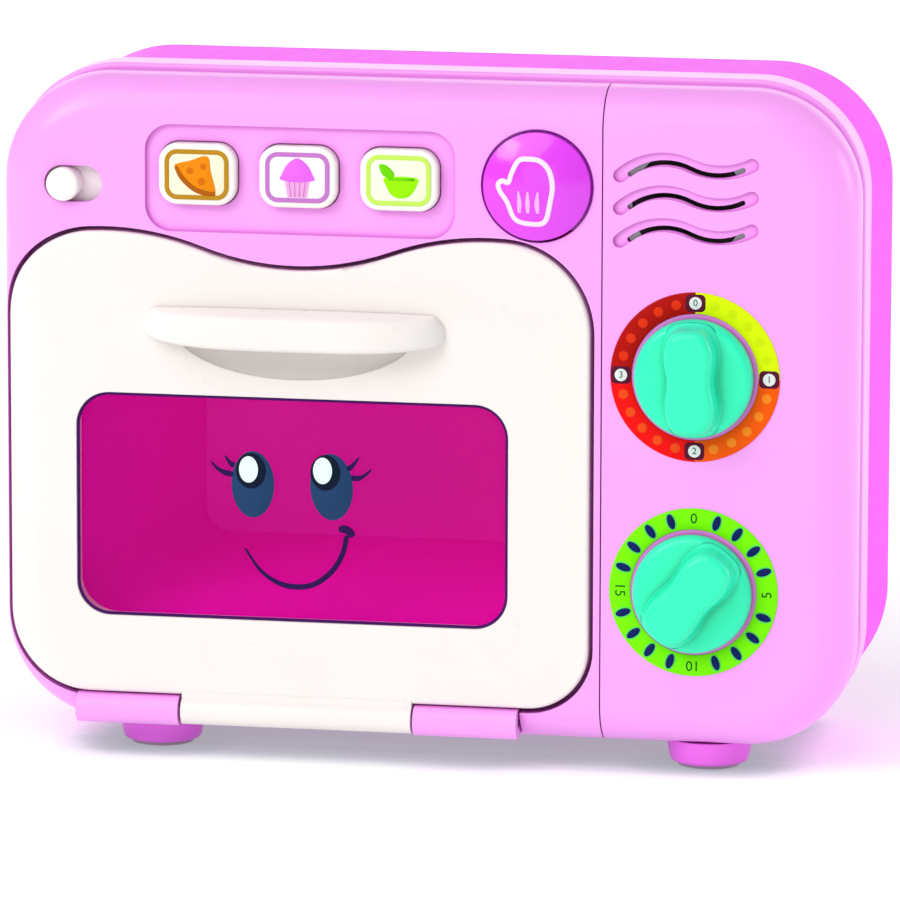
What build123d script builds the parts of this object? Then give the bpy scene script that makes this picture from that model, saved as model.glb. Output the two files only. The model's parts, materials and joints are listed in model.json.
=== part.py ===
from build123d import *
import math
import os

# Toy oven, in millimetres. X runs to the right, Z up, and the front faces -Y.
# Everything is drawn with the front face on Y = 0 and the table on Z = 0;
# save() then slides the whole oven in Y so that its box is centred on the origin.

# ---- driving dimensions -------------------------------------------------------------
BODY_WIDTH = 277.0          # front housing, side to side
BODY_BOTTOM = 9.0           # underside of the body, which is the height of the feet
BODY_TOP = 220.0
BODY_CORNER = 35.0          # corner radius seen from the front
FRONT_FILLET = 14.0         # soft rounding from the front face to the sides
WALL = 3.0                  # front housing wall
FRONT_BACK = 17.0           # depth at which the front housing ends
BAND_FRONT = 21.0           # the band stands out again after the parting groove
BAND_BACK = 36.0
BAND_PROUD = 0.3            # band stands this far proud of the front housing at the sides
BAND_TOP_PROUD = 1.8        # and this far at the top
BAND_INSIDE = 5.5           # inner face of the band, in from the front housing's side
GROOVE_DEPTH = 2.0
REAR_WIDTH = 276.0          # rear shell
REAR_TOP = 219.0
REAR_CORNER = 38.0
REAR_FILLET = 14.0
REAR_BACK = 104.0           # rear face
REAR_WALL = 2.5

SEAM_X = 58.0               # seam between front frame and control panel
SEAM_GAP = 0.4

DOOR_X = -40.8              # middle of the door
DOOR_WIDTH = 190.0
DOOR_BOTTOM = 20.0
DOOR_DIP = 159.3            # lowest point of the wavy top edge
DOOR_CREST = 170.3          # the two high points of the top edge
DOOR_CREST_OUT = 62.0       # how far the crests are from the middle
DOOR_SHOULDER = 29.0        # radius of the upper corners
DOOR_LEFT_CORNER = 27.0
DOOR_RIGHT_CORNER = 20.0
DOOR_GAP = 1.5              # dark gap round the door
DOOR_BACK = 11.4            # back of the closed door
DOOR_SKIN = 2.6
DOOR_EDGE = 1.2             # rounding of the door's front edge
SEAT_FRONT = 12.6           # the ledge behind the door
SEAT_BACK = 15.2

HINGE_Y = 2.0
HINGE_Z = 14.6
BARREL_RADIUS = 4.5         # middle barrel, on the door
KNUCKLE_RADIUS = 5.0        # fixed knuckles
TROUGH_RADIUS = 5.9
TROUGH_WALL = 2.1
PIN_RADIUS = 1.5
RUNNING_FIT = 0.05
BARREL_HALF = 37.7          # half length of the middle barrel
KNUCKLE_END = 72.2          # outer end of each fixed knuckle, from the door's middle
KNUCKLE_GAP = 0.8

WINDOW_X = -42.4
WINDOW_Z = 81.7
WINDOW_WIDTH = 141.0
WINDOW_HEIGHT = 72.8
WINDOW_CORNER = 11.0
WINDOW_SET_BACK = 1.0
WINDOW_FLANGE = 4.0

HANDLE_X = -41.4
HANDLE_LENGTH = 98.0
HANDLE_OUT = 11.0
HANDLE_BOTTOM = 134.5
HANDLE_TOP = 147.0
HANDLE_THICK = 2.8
HANDLE_EDGE = 1.0
SCOOP_Z = 141.0
SCOOP_SIZE = (40.0, 6.0, 17.0)     # half sizes of the finger hollow
SCOOP_WALL = 2.4

CAVITY_X = -42.5            # middle of its mouth
CAVITY_REAR_X = -30.5       # its back leans to the right, so its left side slopes the most
CAVITY_MOUTH = (151.0, 84.0, 82.0, 14.0)    # width, height, middle Z, corner radius
CAVITY_REAR = (113.0, 52.6, 85.7, 8.0)
CAVITY_BACK = 82.0
CAVITY_WALL = 2.0
CAVITY_FLANGE = 5.0

RECESS_X = -39.6            # shallow recess for the food buttons
RECESS_Z = 188.0
RECESS_SIZE = (100.6, 34.4, 8.5)
RECESS_DEPTH = 1.6
BUTTON_PITCH = 32.7
BUTTON_Z = 189.6
BUTTON_SIZE = (25.2, 19.8, 6.2)
BUTTON_FRONT = -2.2
BUTTON_GAP = 0.4
BUTTON_TRAVEL = 1.8
BUTTON_NAMES = ("pizza", "cake", "salad")
LABEL_THICK = 0.3
KEEPER = 1.4                # how far a button's flange reaches behind the wall
KEEPER_FRONT = 5.1
KEEPER_BACK = 6.4

MITTEN_X = 37.1
MITTEN_Z = 188.8
MITTEN_RADIUS = 17.2
MITTEN_GAP = 0.9
MITTEN_EDGE = -1.2          # front of its straight side, before the dome
MITTEN_DOME = 4.6
KEEPER_BOTTOM = 174.5       # its flange is cut off straight above the door's rim
MITTEN_RELIEF = 1.2         # below that line its back is cut away, to clear the door's seat

SLIDER_X = -116.4
SLIDER_Z = 185.2
SLIDER_RADIUS = 5.4
SLIDER_TRAVEL = 6.0
SLOT_SIZE = (19.0, 11.6)
SLOT_X = -113.4
SHUTTLE_SIZE = (25.4, 16.0)
SHUTTLE_FRONT = 4.4
SHUTTLE_BACK = 5.9

DIAL_X = 88.0
DIAL_HEIGHTS = {"temperature": 129.4, "timer": 60.2}
RIDGE_TURN = {"temperature": 0.0, "timer": -39.0}
DIAL_OUTER = 27.1
DIAL_INNER = 20.3
KNOB_RADIUS = 19.0
KNOB_BACK = -0.8
KNOB_FRONT = -6.2
RIDGE_HEIGHT = 8.8
RIDGE_WIDTH = 18.0
RIDGE_LENGTH = 34.0
RIDGE_DRAFT = 2.0           # how much the grip narrows towards its top
RIDGE_WAIST = 1.3           # how far its long sides are hollowed
SHAFT_RADIUS = 4.0
HUB_BACK = 11.0
WHEEL_FRONT = 11.5
WHEEL_BACK = 14.5
WHEEL_RADIUS = 9.0
DETENTS = 20

VENT_X = 84.6
VENT_Z = 185.6
VENT_PITCH = 10.4
VENT_WAVE = [(-21, -3), (-8, 2.4), (1.5, 0.6), (11, -1.2), (21, 1.3)]     # from a row's middle
VENT_HALF = 2.2
VENT_DEPTH = 1.2
VENT_SLOT_HALF = 0.8
VENT_SLOT_DROP = 1.1        # the through slot lies in the lower half of the groove
VENT_SLOT_TRIM = 3.0

SPEAKER_X = 85.0
SPEAKER_Z = 184.0
SPEAKER_RADIUS = 22.0

BOARD_FRONT = 12.0
BOARD_BACK = 13.6
BOARD_SIZE = (178.0, 26.0)
BOARD_X = -35.0
BOARD_Z = 188.0
BOARD_POSTS = [(x, z) for x in (-90.5, 12.5) for z in (178.0, 198.0)]

BATTERY_X = 85.5
BATTERY_Z = 55.0
CELL_RADIUS = 7.1
CELL_LENGTH = 49.0
CELL_PITCH = 15.2
CELL_Y = 92.6
BOX_INNER = (57.0, 46.0)
BOX_WALL = 1.5
BOX_FRONT = 83.4
COVER_SIZE = (57.0, 56.0, 3.0)
COVER_Z = 60.0
COVER_GAP = 0.3
COVER_THICK = 2.3
COVER_SCREW_Z = 83.6
COVER_SCREW_SUNK = 1.4      # its head lies in a counterbore

SCREW_PLACES = [
    (-128.3, 140.0),
    (-128.3, 52.0),
    (-5.0, 206.0),
    (-45.0, 25.8),
    (124.5, 158.0),
    (124.5, 36.0),
]
POST_RADIUS = 4.0
POST_BACK = 57.6
WELL_RADIUS = 5.0
WELL_FLOOR = 61.0
SCREW_RADIUS = 1.5
SCREW_HEAD = 3.0

FOOT_X = 90.0
FOOT_Y = (23.0, 84.0)
FOOT_TOP_RADIUS = 14.0
FOOT_LOW_RADIUS = 12.5
PAD_THICK = 1.2
PAD_RADIUS = 10.0

OVEN_FRONT = KNOB_FRONT - RIDGE_HEIGHT      # the knobs' grips reach furthest forward
MIDDLE_Y = (OVEN_FRONT + REAR_BACK) / 2

os.makedirs("parts", exist_ok=True)


# ---- drawing aids -------------------------------------------------------------------
def save(name, shape):
    """Slides a finished piece to its place and writes it."""
    export_step(Pos(0, -MIDDLE_Y, 0) * shape, "parts/" + name + ".step")


def slab(outline, front, back):
    """The solid between two depths whose outline is drawn in X and Z."""
    return Pos(0, back, 0) * (Plane.XZ * extrude(outline, back - front, dir=(0, 0, 1)))


def rod(x, z, radius, front, back):
    """A round bar along Y."""
    return slab(Pos(x, z) * Circle(radius), front, back)


def bar(x_low, x_high, radius, y, z):
    """A round bar along X."""
    middle = Pos((x_low + x_high) / 2, y, z)
    return middle * Rot(0, 90, 0) * Cylinder(radius, x_high - x_low)


def block(x_low, x_high, y_low, y_high, z_low, z_high):
    size = Box(x_high - x_low, y_high - y_low, z_high - z_low)
    return Pos((x_low + x_high) / 2, (y_low + y_high) / 2, (z_low + z_high) / 2) * size


def rounded(x, z, width, height, corner):
    return Pos(x, z) * RectangleRounded(width, height, corner)


def screw(x, z, head_front, tip, radius=SCREW_RADIUS, head=SCREW_HEAD, head_thick=2.0):
    """A screw along Y whose head is at the back; tip is its front end."""
    shank = rod(x, z, radius, tip, head_front)
    head_back = head_front + head_thick
    cap = rod(x, z, head, head_front, head_back)
    slot = block(x - head, x + head, head_back - 0.7, head_back + 1, z - 0.4, z + 0.4)
    return shank + cap - slot


def body_outline(inset):
    height = BODY_TOP - BODY_BOTTOM
    middle = (BODY_TOP + BODY_BOTTOM) / 2
    return rounded(0, middle, BODY_WIDTH - 2 * inset, height - 2 * inset, BODY_CORNER - inset)


def body_form(inset):
    """The front housing as a full solid, with its soft front edge, at some distance inside."""
    solid = slab(body_outline(inset), inset, FRONT_BACK)
    front_edges = solid.faces().sort_by(Axis.Y)[0].edges()
    return fillet(front_edges, FRONT_FILLET - inset)


def raised_outline(side, top, corner):
    """A body section wider by side at each side and higher by top, on the same underside."""
    height = BODY_TOP + top - BODY_BOTTOM
    middle = BODY_BOTTOM + height / 2
    return rounded(0, middle, BODY_WIDTH + 2 * side, height, corner)


def door_outline(grow=0.0):
    """The door's outline: two crests and a dip on top, straight sides, round lower corners."""
    left = DOOR_X - DOOR_WIDTH / 2
    right = DOOR_X + DOOR_WIDTH / 2
    rise = DOOR_CREST - DOOR_DIP
    wave = (DOOR_CREST_OUT ** 2 + rise ** 2) / (4 * rise)
    swing = math.degrees(math.asin(DOOR_CREST_OUT / (2 * wave)))
    crest_z = DOOR_CREST - wave
    shoulder_out = DOOR_WIDTH / 2 - DOOR_SHOULDER
    lean = math.asin((shoulder_out - DOOR_CREST_OUT) / (wave - DOOR_SHOULDER))
    shoulder_z = crest_z + (wave - DOOR_SHOULDER) * math.cos(lean)
    lean = math.degrees(lean)
    low_right = (right, DOOR_BOTTOM + DOOR_RIGHT_CORNER)
    right_foot = (right - DOOR_RIGHT_CORNER, DOOR_BOTTOM)
    left_foot = (left + DOOR_LEFT_CORNER, DOOR_BOTTOM)
    low_left = (left, DOOR_BOTTOM + DOOR_LEFT_CORNER)
    edges = [
        CenterArc((DOOR_X - shoulder_out, shoulder_z), DOOR_SHOULDER, 90 + lean, 90 - lean),
        CenterArc((DOOR_X - DOOR_CREST_OUT, crest_z), wave, 90 - swing, swing + lean),
        CenterArc((DOOR_X, DOOR_DIP + wave), wave, 270 - swing, 2 * swing),
        CenterArc((DOOR_X + DOOR_CREST_OUT, crest_z), wave, 90 - lean, swing + lean),
        CenterArc((DOOR_X + shoulder_out, shoulder_z), DOOR_SHOULDER, 0, 90 - lean),
        Line((right, shoulder_z), low_right),
        RadiusArc(low_right, right_foot, DOOR_RIGHT_CORNER),
        Line(right_foot, left_foot),
        RadiusArc(left_foot, low_left, DOOR_LEFT_CORNER),
        Line(low_left, (left, shoulder_z)),
    ]
    outline = make_face(Curve() + edges)
    if grow:
        outline = offset(outline, grow)
    return outline


def window_outline(grow=0.0):
    return rounded(
        WINDOW_X,
        WINDOW_Z,
        WINDOW_WIDTH + 2 * grow,
        WINDOW_HEIGHT + 2 * grow,
        WINDOW_CORNER + grow,
    )


def button_x(index):
    return RECESS_X + BUTTON_PITCH * (index - 1) - 0.2


def button_outline(index, grow=0.0):
    width, height, corner = BUTTON_SIZE
    return rounded(button_x(index), BUTTON_Z, width + 2 * grow, height + 2 * grow, corner + grow)


# ---- housings -----------------------------------------------------------------------
def front_shell():
    """The whole front housing before the seam: skin, door rim, ledge behind the door."""
    outer = body_form(0)
    skin = outer - body_form(WALL)
    rim = slab(door_outline(DOOR_GAP + 2.0), 0, SEAT_BACK)
    thickening = bar(
        DOOR_X - KNUCKLE_END - 2.6,
        DOOR_X + KNUCKLE_END + 2.6,
        TROUGH_RADIUS + TROUGH_WALL,
        HINGE_Y,
        HINGE_Z,
    )
    width, height, corner = RECESS_SIZE
    pad = slab(rounded(RECESS_X, RECESS_Z, width + 4, height + 4, corner + 2), 1.0, RECESS_DEPTH + WALL)
    shell = skin + (rim & outer) + (thickening & outer) + pad
    shell -= slab(door_outline(DOOR_GAP), -1, SEAT_FRONT)
    mouth_width, mouth_height, mouth_z, mouth_corner = CAVITY_MOUTH
    shell -= slab(rounded(CAVITY_X, mouth_z, mouth_width, mouth_height, mouth_corner), 0, SEAT_BACK + 1)
    shell -= bar(
        DOOR_X - KNUCKLE_END - 0.5,
        DOOR_X + KNUCKLE_END + 0.5,
        TROUGH_RADIUS,
        HINGE_Y,
        HINGE_Z,
    )
    return shell


def posts(places, start):
    """Round posts that take the long housing screws."""
    result = []
    for x, z in places:
        result.append(rod(x, z, POST_RADIUS, start, POST_BACK) - rod(x, z, SCREW_RADIUS, 40, POST_BACK))
    return result


def front_frame():
    frame = front_shell() & block(-200, SEAM_X - SEAM_GAP / 2, -5, 60, 0, 300)
    width, height, corner = RECESS_SIZE
    frame -= slab(rounded(RECESS_X, RECESS_Z, width, height, corner), -1, RECESS_DEPTH)
    for index in range(3):
        frame -= slab(button_outline(index, BUTTON_GAP), 0, KEEPER_FRONT)
    frame -= rod(MITTEN_X, MITTEN_Z, MITTEN_RADIUS + MITTEN_GAP, -1, WALL + 1)
    slot_width, slot_height = SLOT_SIZE
    frame -= slab(Pos(SLOT_X, SLIDER_Z) * SlotOverall(slot_width, slot_height), -1, WALL + 1)
    for x, z in BOARD_POSTS:
        frame += rod(x, z, 2.5, WALL - 0.5, BOARD_FRONT)
        frame -= rod(x, z, 1.2, 6, BOARD_FRONT)
    left_places = [place for place in SCREW_PLACES if place[0] < 0]
    for post, place in zip(posts(left_places, 2.5), left_places):
        on_ledge = place[1] < DOOR_CREST
        keep = block(-200, 200, SEAT_FRONT + 0.5 if on_ledge else 2.5, 60, 0, 300)
        frame += post & keep
    return frame


def vent_wave(row_z, half_height, drop=0.0, trim=0.0):
    """One wavy slot with round ends: a hump on the left that runs into a hollow on the right."""
    points = [(VENT_X + x, row_z + z - drop) for x, z in VENT_WAVE]
    start, crest, middle, dip, end = points
    hump = ThreePointArc((start[0] + trim, start[1] + trim * 0.5), crest, middle)
    hollow = ThreePointArc(middle, dip, (end[0] - trim, end[1] - trim * 0.2))
    return make_face(offset(Curve() + [hump, hollow], half_height, side=Side.BOTH))


def control_panel():
    panel = front_shell() & block(SEAM_X + SEAM_GAP / 2, 200, -5, 60, 0, 300)
    for height in DIAL_HEIGHTS.values():
        panel += rod(DIAL_X, height, 8, WALL - 0.5, HUB_BACK)
        panel -= rod(DIAL_X, height, SHAFT_RADIUS + RUNNING_FIT, -1, HUB_BACK + 1)
        for side in (-1, 1):
            panel += rod(DIAL_X + side * 12, height + 12, 2, WALL - 0.5, WHEEL_FRONT)
    for row in (-1, 0, 1):
        row_z = VENT_Z + row * VENT_PITCH
        panel -= slab(vent_wave(row_z, VENT_HALF), -1, VENT_DEPTH)
        panel -= slab(vent_wave(row_z, VENT_SLOT_HALF, VENT_SLOT_DROP, VENT_SLOT_TRIM), -1, WALL + 1)
    for post in posts([place for place in SCREW_PLACES if place[0] > 0], WALL - 0.5):
        panel += post
    return panel


def middle_band():
    side = BAND_PROUD
    band = slab(raised_outline(side, BAND_TOP_PROUD, BODY_CORNER + 1), BAND_FRONT, BAND_BACK)
    rims = band.faces().filter_by(Axis.Y).edges()
    band = fillet(rims, 1.4)
    band += slab(body_outline(GROOVE_DEPTH), FRONT_BACK, BAND_FRONT)
    band += slab(body_outline(WALL), SEAT_BACK, FRONT_BACK)
    band += slab(rear_outline(REAR_WALL), BAND_BACK, BAND_BACK + 5)
    return band - slab(body_outline(BAND_INSIDE), 0, BAND_BACK + 6)


def rear_outline(inset):
    height = REAR_TOP - BODY_BOTTOM
    middle = (REAR_TOP + BODY_BOTTOM) / 2
    return rounded(0, middle, REAR_WIDTH - 2 * inset, height - 2 * inset, REAR_CORNER - inset)


def rear_form(inset, front):
    solid = slab(rear_outline(inset), front, REAR_BACK - inset)
    rear_edges = solid.faces().sort_by(Axis.Y)[-1].edges()
    return fillet(rear_edges, REAR_FILLET - inset)


def rear_housing():
    outer = rear_form(0, BAND_BACK)
    shell = outer - rear_form(REAR_WALL, BAND_BACK)
    for x, z in SCREW_PLACES:
        shell += rod(x, z, WELL_RADIUS, POST_BACK + 0.4, REAR_BACK) & outer
        shell -= rod(x, z, SCREW_HEAD + 0.4, WELL_FLOOR, REAR_BACK + 1)
        shell -= rod(x, z, SCREW_RADIUS, POST_BACK, WELL_FLOOR + 1)
    width, height, corner = COVER_SIZE
    opening = rounded(BATTERY_X, COVER_Z, width + 2 * COVER_GAP, height + 2 * COVER_GAP, corner)
    return shell - slab(opening, REAR_BACK - 6, REAR_BACK + 1)


def cavity_section(depth, grow):
    """The tub's section at a depth, tapering from its mouth to its back."""
    share = (depth - SEAT_BACK) / (CAVITY_BACK - SEAT_BACK)
    width, height, middle, corner = [
        front + (rear - front) * share for front, rear in zip(CAVITY_MOUTH, CAVITY_REAR)
    ]
    centre = CAVITY_X + (CAVITY_REAR_X - CAVITY_X) * share
    outline = rounded(centre, middle, width + 2 * grow, height + 2 * grow, corner + grow)
    return Pos(0, depth, 0) * (Plane.XZ * outline)


def oven_cavity():
    outer = loft([cavity_section(SEAT_BACK, CAVITY_WALL), cavity_section(CAVITY_BACK, CAVITY_WALL)])
    inner_back = CAVITY_BACK - CAVITY_WALL
    inner = loft([cavity_section(SEAT_BACK - 0.01, 0), cavity_section(inner_back, 0)])
    width, height, middle, corner = CAVITY_MOUTH
    grow = 2 * CAVITY_FLANGE
    flange_outline = rounded(CAVITY_X, middle, width + grow, height + grow, corner + 4)
    flange = slab(flange_outline, SEAT_BACK, SEAT_BACK + 2)
    return outer + flange - inner


# ---- door and hinge -----------------------------------------------------------------
def scoop(grow):
    half = [size + grow for size in SCOOP_SIZE]
    bowl = scale(Sphere(1), by=(half[0], half[1], half[2]))
    return Pos(HANDLE_X, 0, SCOOP_Z) * bowl


def handle_screw_places():
    return [(HANDLE_X - 43.5, 144.3), (HANDLE_X + 43.5, 144.3)]


def runs_round_the_front(edge):
    """True for the edges between the door's face and its sides."""
    start, end = edge @ 0, edge @ 1
    return (edge @ 0.5).Y < DOOR_BACK / 2 and abs(start.Y - end.Y) < DOOR_BACK / 2


def door_outer_panel():
    outer = body_form(0) & slab(door_outline(), -1, DOOR_BACK)
    outer = fillet([edge for edge in outer.edges() if runs_round_the_front(edge)], DOOR_EDGE)
    hollow = body_form(DOOR_SKIN) & slab(door_outline(-DOOR_SKIN), 0, DOOR_BACK + 1)
    panel = outer - hollow
    panel += scoop(SCOOP_WALL) & outer & block(-200, 200, 0, 20, 0, SCOOP_Z + 1)
    panel -= scoop(0) & block(-200, 200, -20, 20, 0, SCOOP_Z)
    panel -= slab(window_outline(), -1, 5)
    barrel = bar(DOOR_X - BARREL_HALF, DOOR_X + BARREL_HALF, BARREL_RADIUS, HINGE_Y, HINGE_Z)
    web = block(DOOR_X - BARREL_HALF, DOOR_X + BARREL_HALF, 0, 5, HINGE_Z, DOOR_BOTTOM + 1)
    panel += barrel + web
    panel -= bar(DOOR_X - 100, DOOR_X + 100, PIN_RADIUS + RUNNING_FIT, HINGE_Y, HINGE_Z)
    for x, z in handle_screw_places():
        panel -= rod(x, z, 1.3, -1, DOOR_SKIN + 1)
    for x, z in door_screw_places():
        panel += rod(x, z, 3.2, 1, 9)
        panel -= rod(x, z, 1.2, 4, 9)
    return panel


def door_screw_places():
    return [(-124.0, 56.0), (-124.0, 140.0), (42.5, 56.0), (42.5, 140.0)]


def door_inner_panel():
    plate = slab(door_outline(-DOOR_SKIN - 0.3), 9.0, DOOR_BACK)
    rib = slab(window_outline(3.0) - window_outline(1.0), 4.4, 9.5)
    panel = plate + rib - slab(window_outline(1.0), 0, DOOR_BACK + 1)
    for x, z in door_screw_places():
        panel -= rod(x, z, 2.6, 10.0, DOOR_BACK + 1)
        panel -= rod(x, z, 1.2, 8, DOOR_BACK + 1)
    pocket = block(DOOR_X - 8, DOOR_X + 8, 10.4, DOOR_BACK + 1, 133, 141)
    return panel - pocket


def door_screws():
    return Compound(
        children=[
            screw(x, z, 10.0, 4.2, radius=1.2, head=2.6, head_thick=1.2)
            for x, z in door_screw_places()
        ]
    )


def door_window():
    pane = slab(window_outline(), WINDOW_SET_BACK, 3.4)
    front_edges = pane.faces().sort_by(Axis.Y)[0].edges()
    pane = fillet(front_edges, 0.8)
    return pane + slab(window_outline(WINDOW_FLANGE), DOOR_SKIN, 4.4)


def face_print():
    """A plain smiling face, printed on the front of the window."""
    front = WINDOW_SET_BACK - 0.2
    pieces = []
    for x in (-55.1, -29.4):
        pieces.append(slab(Pos(x, 89.6) * Ellipse(7.0, 11.0), front, WINDOW_SET_BACK))
    smile = RadiusArc((-57.6, 68.4), (-24.6, 72.4), -18.6)
    stroke = offset(smile, 0.8, side=Side.BOTH)
    pieces.append(slab(make_face(stroke), front, WINDOW_SET_BACK))
    return Compound(children=pieces)


def door_handle():
    """A lip that hangs from the door face, thin in front and open below for the fingers."""
    half = HANDLE_LENGTH / 2
    outside = Polyline(
        (0, HANDLE_TOP),
        (-HANDLE_OUT, HANDLE_TOP - 3.4),
        (-HANDLE_OUT, HANDLE_BOTTOM),
        (0, HANDLE_BOTTOM),
        close=True,
    )
    profile = Plane.YZ * make_face(outside)
    lip = Pos(HANDLE_X - half, 0, 0) * extrude(profile, HANDLE_LENGTH)
    front = -HANDLE_OUT
    plan = Polyline(
        (HANDLE_X - half, 0.0),
        (HANDLE_X - half + 6, front * 0.55),
        (HANDLE_X - half + 22, front),
        (HANDLE_X + half - 22, front),
        (HANDLE_X + half - 6, front * 0.55),
        (HANDLE_X + half, 0.0),
        close=True,
    )
    lip &= extrude(make_face(plan), 300)
    inner = front + HANDLE_THICK
    hollow_plan = Polyline(
        (HANDLE_X - half + 10, 1.0),
        (HANDLE_X - half + 12, 0.0),
        (HANDLE_X - half + 25, inner),
        (HANDLE_X + half - 25, inner),
        (HANDLE_X + half - 12, 0.0),
        (HANDLE_X + half - 10, 1.0),
        close=True,
    )
    hollow = extrude(make_face(hollow_plan), HANDLE_TOP - 5.6)
    lip -= hollow
    lip = fillet([edge for edge in lip.edges() if (edge @ 0.5).Y < front / 2], HANDLE_EDGE)
    for x, z in handle_screw_places():
        lip -= rod(x, z, 1.3, -4.2, 1)
    return lip


def handle_screws():
    screws = []
    for x, z in handle_screw_places():
        screws.append(screw(x, z, DOOR_SKIN, -4.0, radius=1.3, head=2.6, head_thick=1.6))
    return Compound(children=screws)


def hinge_knuckle(side):
    """A fixed knuckle: a barrel on the pin, joined to the back of the trough."""
    inner_end = DOOR_X + side * (BARREL_HALF + KNUCKLE_GAP)
    outer_end = DOOR_X + side * KNUCKLE_END
    low, high = sorted((inner_end, outer_end))
    barrel = bar(low, high, KNUCKLE_RADIUS, HINGE_Y, HINGE_Z)
    web = block(low, high, HINGE_Y, HINGE_Y + 6, HINGE_Z - 3.6, HINGE_Z + 1.5)
    web &= bar(low, high, TROUGH_RADIUS, HINGE_Y, HINGE_Z)
    return barrel + web - bar(low - 1, high + 1, PIN_RADIUS, HINGE_Y, HINGE_Z)


def hinge_pin():
    return bar(DOOR_X - KNUCKLE_END, DOOR_X + KNUCKLE_END, PIN_RADIUS, HINGE_Y, HINGE_Z)


def magnet_plate():
    return block(DOOR_X - 7.5, DOOR_X + 7.5, 10.4, DOOR_BACK, 133.5, 140.5)


def door_magnet():
    return block(DOOR_X - 6, DOOR_X + 6, SEAT_BACK, SEAT_BACK + 4, 134, 140)


# ---- buttons, slider and knobs ------------------------------------------------------
def food_button(index):
    cap = slab(button_outline(index), BUTTON_FRONT, KEEPER_FRONT + 0.2)
    front_edges = cap.faces().sort_by(Axis.Y)[0].edges()
    cap = fillet(front_edges, 1.3)
    keeper = slab(button_outline(index, KEEPER), KEEPER_FRONT, KEEPER_BACK)
    stem = rod(button_x(index), BUTTON_Z, 3.5, KEEPER_BACK - 0.2, KEEPER_BACK + 0.6)
    return cap + keeper + stem


def food_label(index):
    width, height, corner = BUTTON_SIZE
    inset = 2.4
    outline = rounded(button_x(index), BUTTON_Z, width - 2 * inset, height - 2 * inset, corner - inset)
    return slab(outline, BUTTON_FRONT - LABEL_THICK, BUTTON_FRONT)


def button_keypad():
    sheet = slab(rounded(RECESS_X, BUTTON_Z, 97, 16, 4), BOARD_FRONT - 1.2, BOARD_FRONT)
    for index in range(3):
        sheet += rod(button_x(index), BUTTON_Z, 5, 9.2, BOARD_FRONT - 1.0)
    return sheet


def mitten_dome_radius():
    return (MITTEN_RADIUS ** 2 + MITTEN_DOME ** 2) / (2 * MITTEN_DOME)


def mitten_button():
    radius = mitten_dome_radius()
    side = rod(MITTEN_X, MITTEN_Z, MITTEN_RADIUS, MITTEN_EDGE, WALL + 0.6)
    ball = Pos(MITTEN_X, MITTEN_EDGE - MITTEN_DOME + radius, MITTEN_Z) * Sphere(radius)
    dome = ball & rod(MITTEN_X, MITTEN_Z, MITTEN_RADIUS, MITTEN_EDGE - MITTEN_DOME - 1, MITTEN_EDGE)
    keeper = rod(MITTEN_X, MITTEN_Z, MITTEN_RADIUS + 2.0, WALL + 0.4, WALL + 1.8)
    stem = rod(MITTEN_X, MITTEN_Z, 2.5, WALL + 1.6, WALL + 2.2)
    relief = block(-200, 200, MITTEN_RELIEF, 20, 0, KEEPER_BOTTOM)
    return side + dome + keeper + stem - relief


def mitten_icon():
    """A mitten outline of even width that follows the dome."""
    hand = Pos(0.8, 2.6) * Rot(0, 0, 90) * SlotOverall(15.6, 11.0)
    cuff = Pos(0.8, -6.0) * RectangleRounded(9.4, 7.0, 1.2)
    thumb = Pos(-4.4, -0.4) * Rot(0, 0, 128) * SlotOverall(10.5, 5.6)
    whole = hand + cuff + thumb
    ring = offset(whole, 0.45) - offset(whole, -0.45)
    radius = mitten_dome_radius()
    centre = Pos(MITTEN_X, MITTEN_EDGE - MITTEN_DOME + radius, MITTEN_Z)
    film = centre * (Sphere(radius + 0.25) - Sphere(radius))
    column = slab(Pos(MITTEN_X - 0.6, MITTEN_Z + 0.4) * ring, -20, 0)
    return film & column


def mitten_switch():
    body = slab(Pos(MITTEN_X, MITTEN_Z) * Rectangle(6, 6), 8.6, BOARD_FRONT)
    return body + rod(MITTEN_X, MITTEN_Z, 1.7, 8.0, 8.7)


def power_slider():
    knob = rod(SLIDER_X, SLIDER_Z, SLIDER_RADIUS, -3.4, SHUTTLE_FRONT + 0.2)
    front_edges = knob.faces().sort_by(Axis.Y)[0].edges()
    knob = fillet(front_edges, 1.4)
    width, height = SHUTTLE_SIZE
    shuttle = slab(rounded(SLIDER_X, SLIDER_Z, width, height, 2.5), SHUTTLE_FRONT, SHUTTLE_BACK)
    socket = rod(SLIDER_X, SLIDER_Z, 2.4, SHUTTLE_BACK - 0.2, 6.6)
    return knob + shuttle + socket - rod(SLIDER_X, SLIDER_Z, 1.2, 4.6, 6.6)


def switch_lever():
    return rod(SLIDER_X, SLIDER_Z, 1.2, 4.6, 9.0)


def slide_switch():
    middle = SLIDER_X + SLIDER_TRAVEL / 2
    body = slab(Pos(middle, SLIDER_Z) * Rectangle(16, 7.5), 7.2, BOARD_FRONT)
    return body - slab(Pos(middle, SLIDER_Z) * SlotOverall(SLIDER_TRAVEL + 3.4, 3.2), 6, 9.6)


def dial_label(name):
    ring = Circle(DIAL_OUTER) - Circle(DIAL_INNER)
    return slab(Pos(DIAL_X, DIAL_HEIGHTS[name]) * ring, -LABEL_THICK, 0)


def ridge_outline(inset):
    """A long grip with a slight waist and round ends."""
    half = RIDGE_WIDTH / 2 - inset
    end = RIDGE_LENGTH / 2 - inset
    shoulder = end - half * 0.6
    waist = half - RIDGE_WAIST
    right = ThreePointArc((half, shoulder), (waist, 0), (half, -shoulder))
    bottom = ThreePointArc((half, -shoulder), (0, -end), (-half, -shoulder))
    left = ThreePointArc((-half, -shoulder), (-waist, 0), (-half, shoulder))
    top = ThreePointArc((-half, shoulder), (0, end), (half, shoulder))
    return make_face(Curve() + [right, bottom, left, top])


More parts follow.
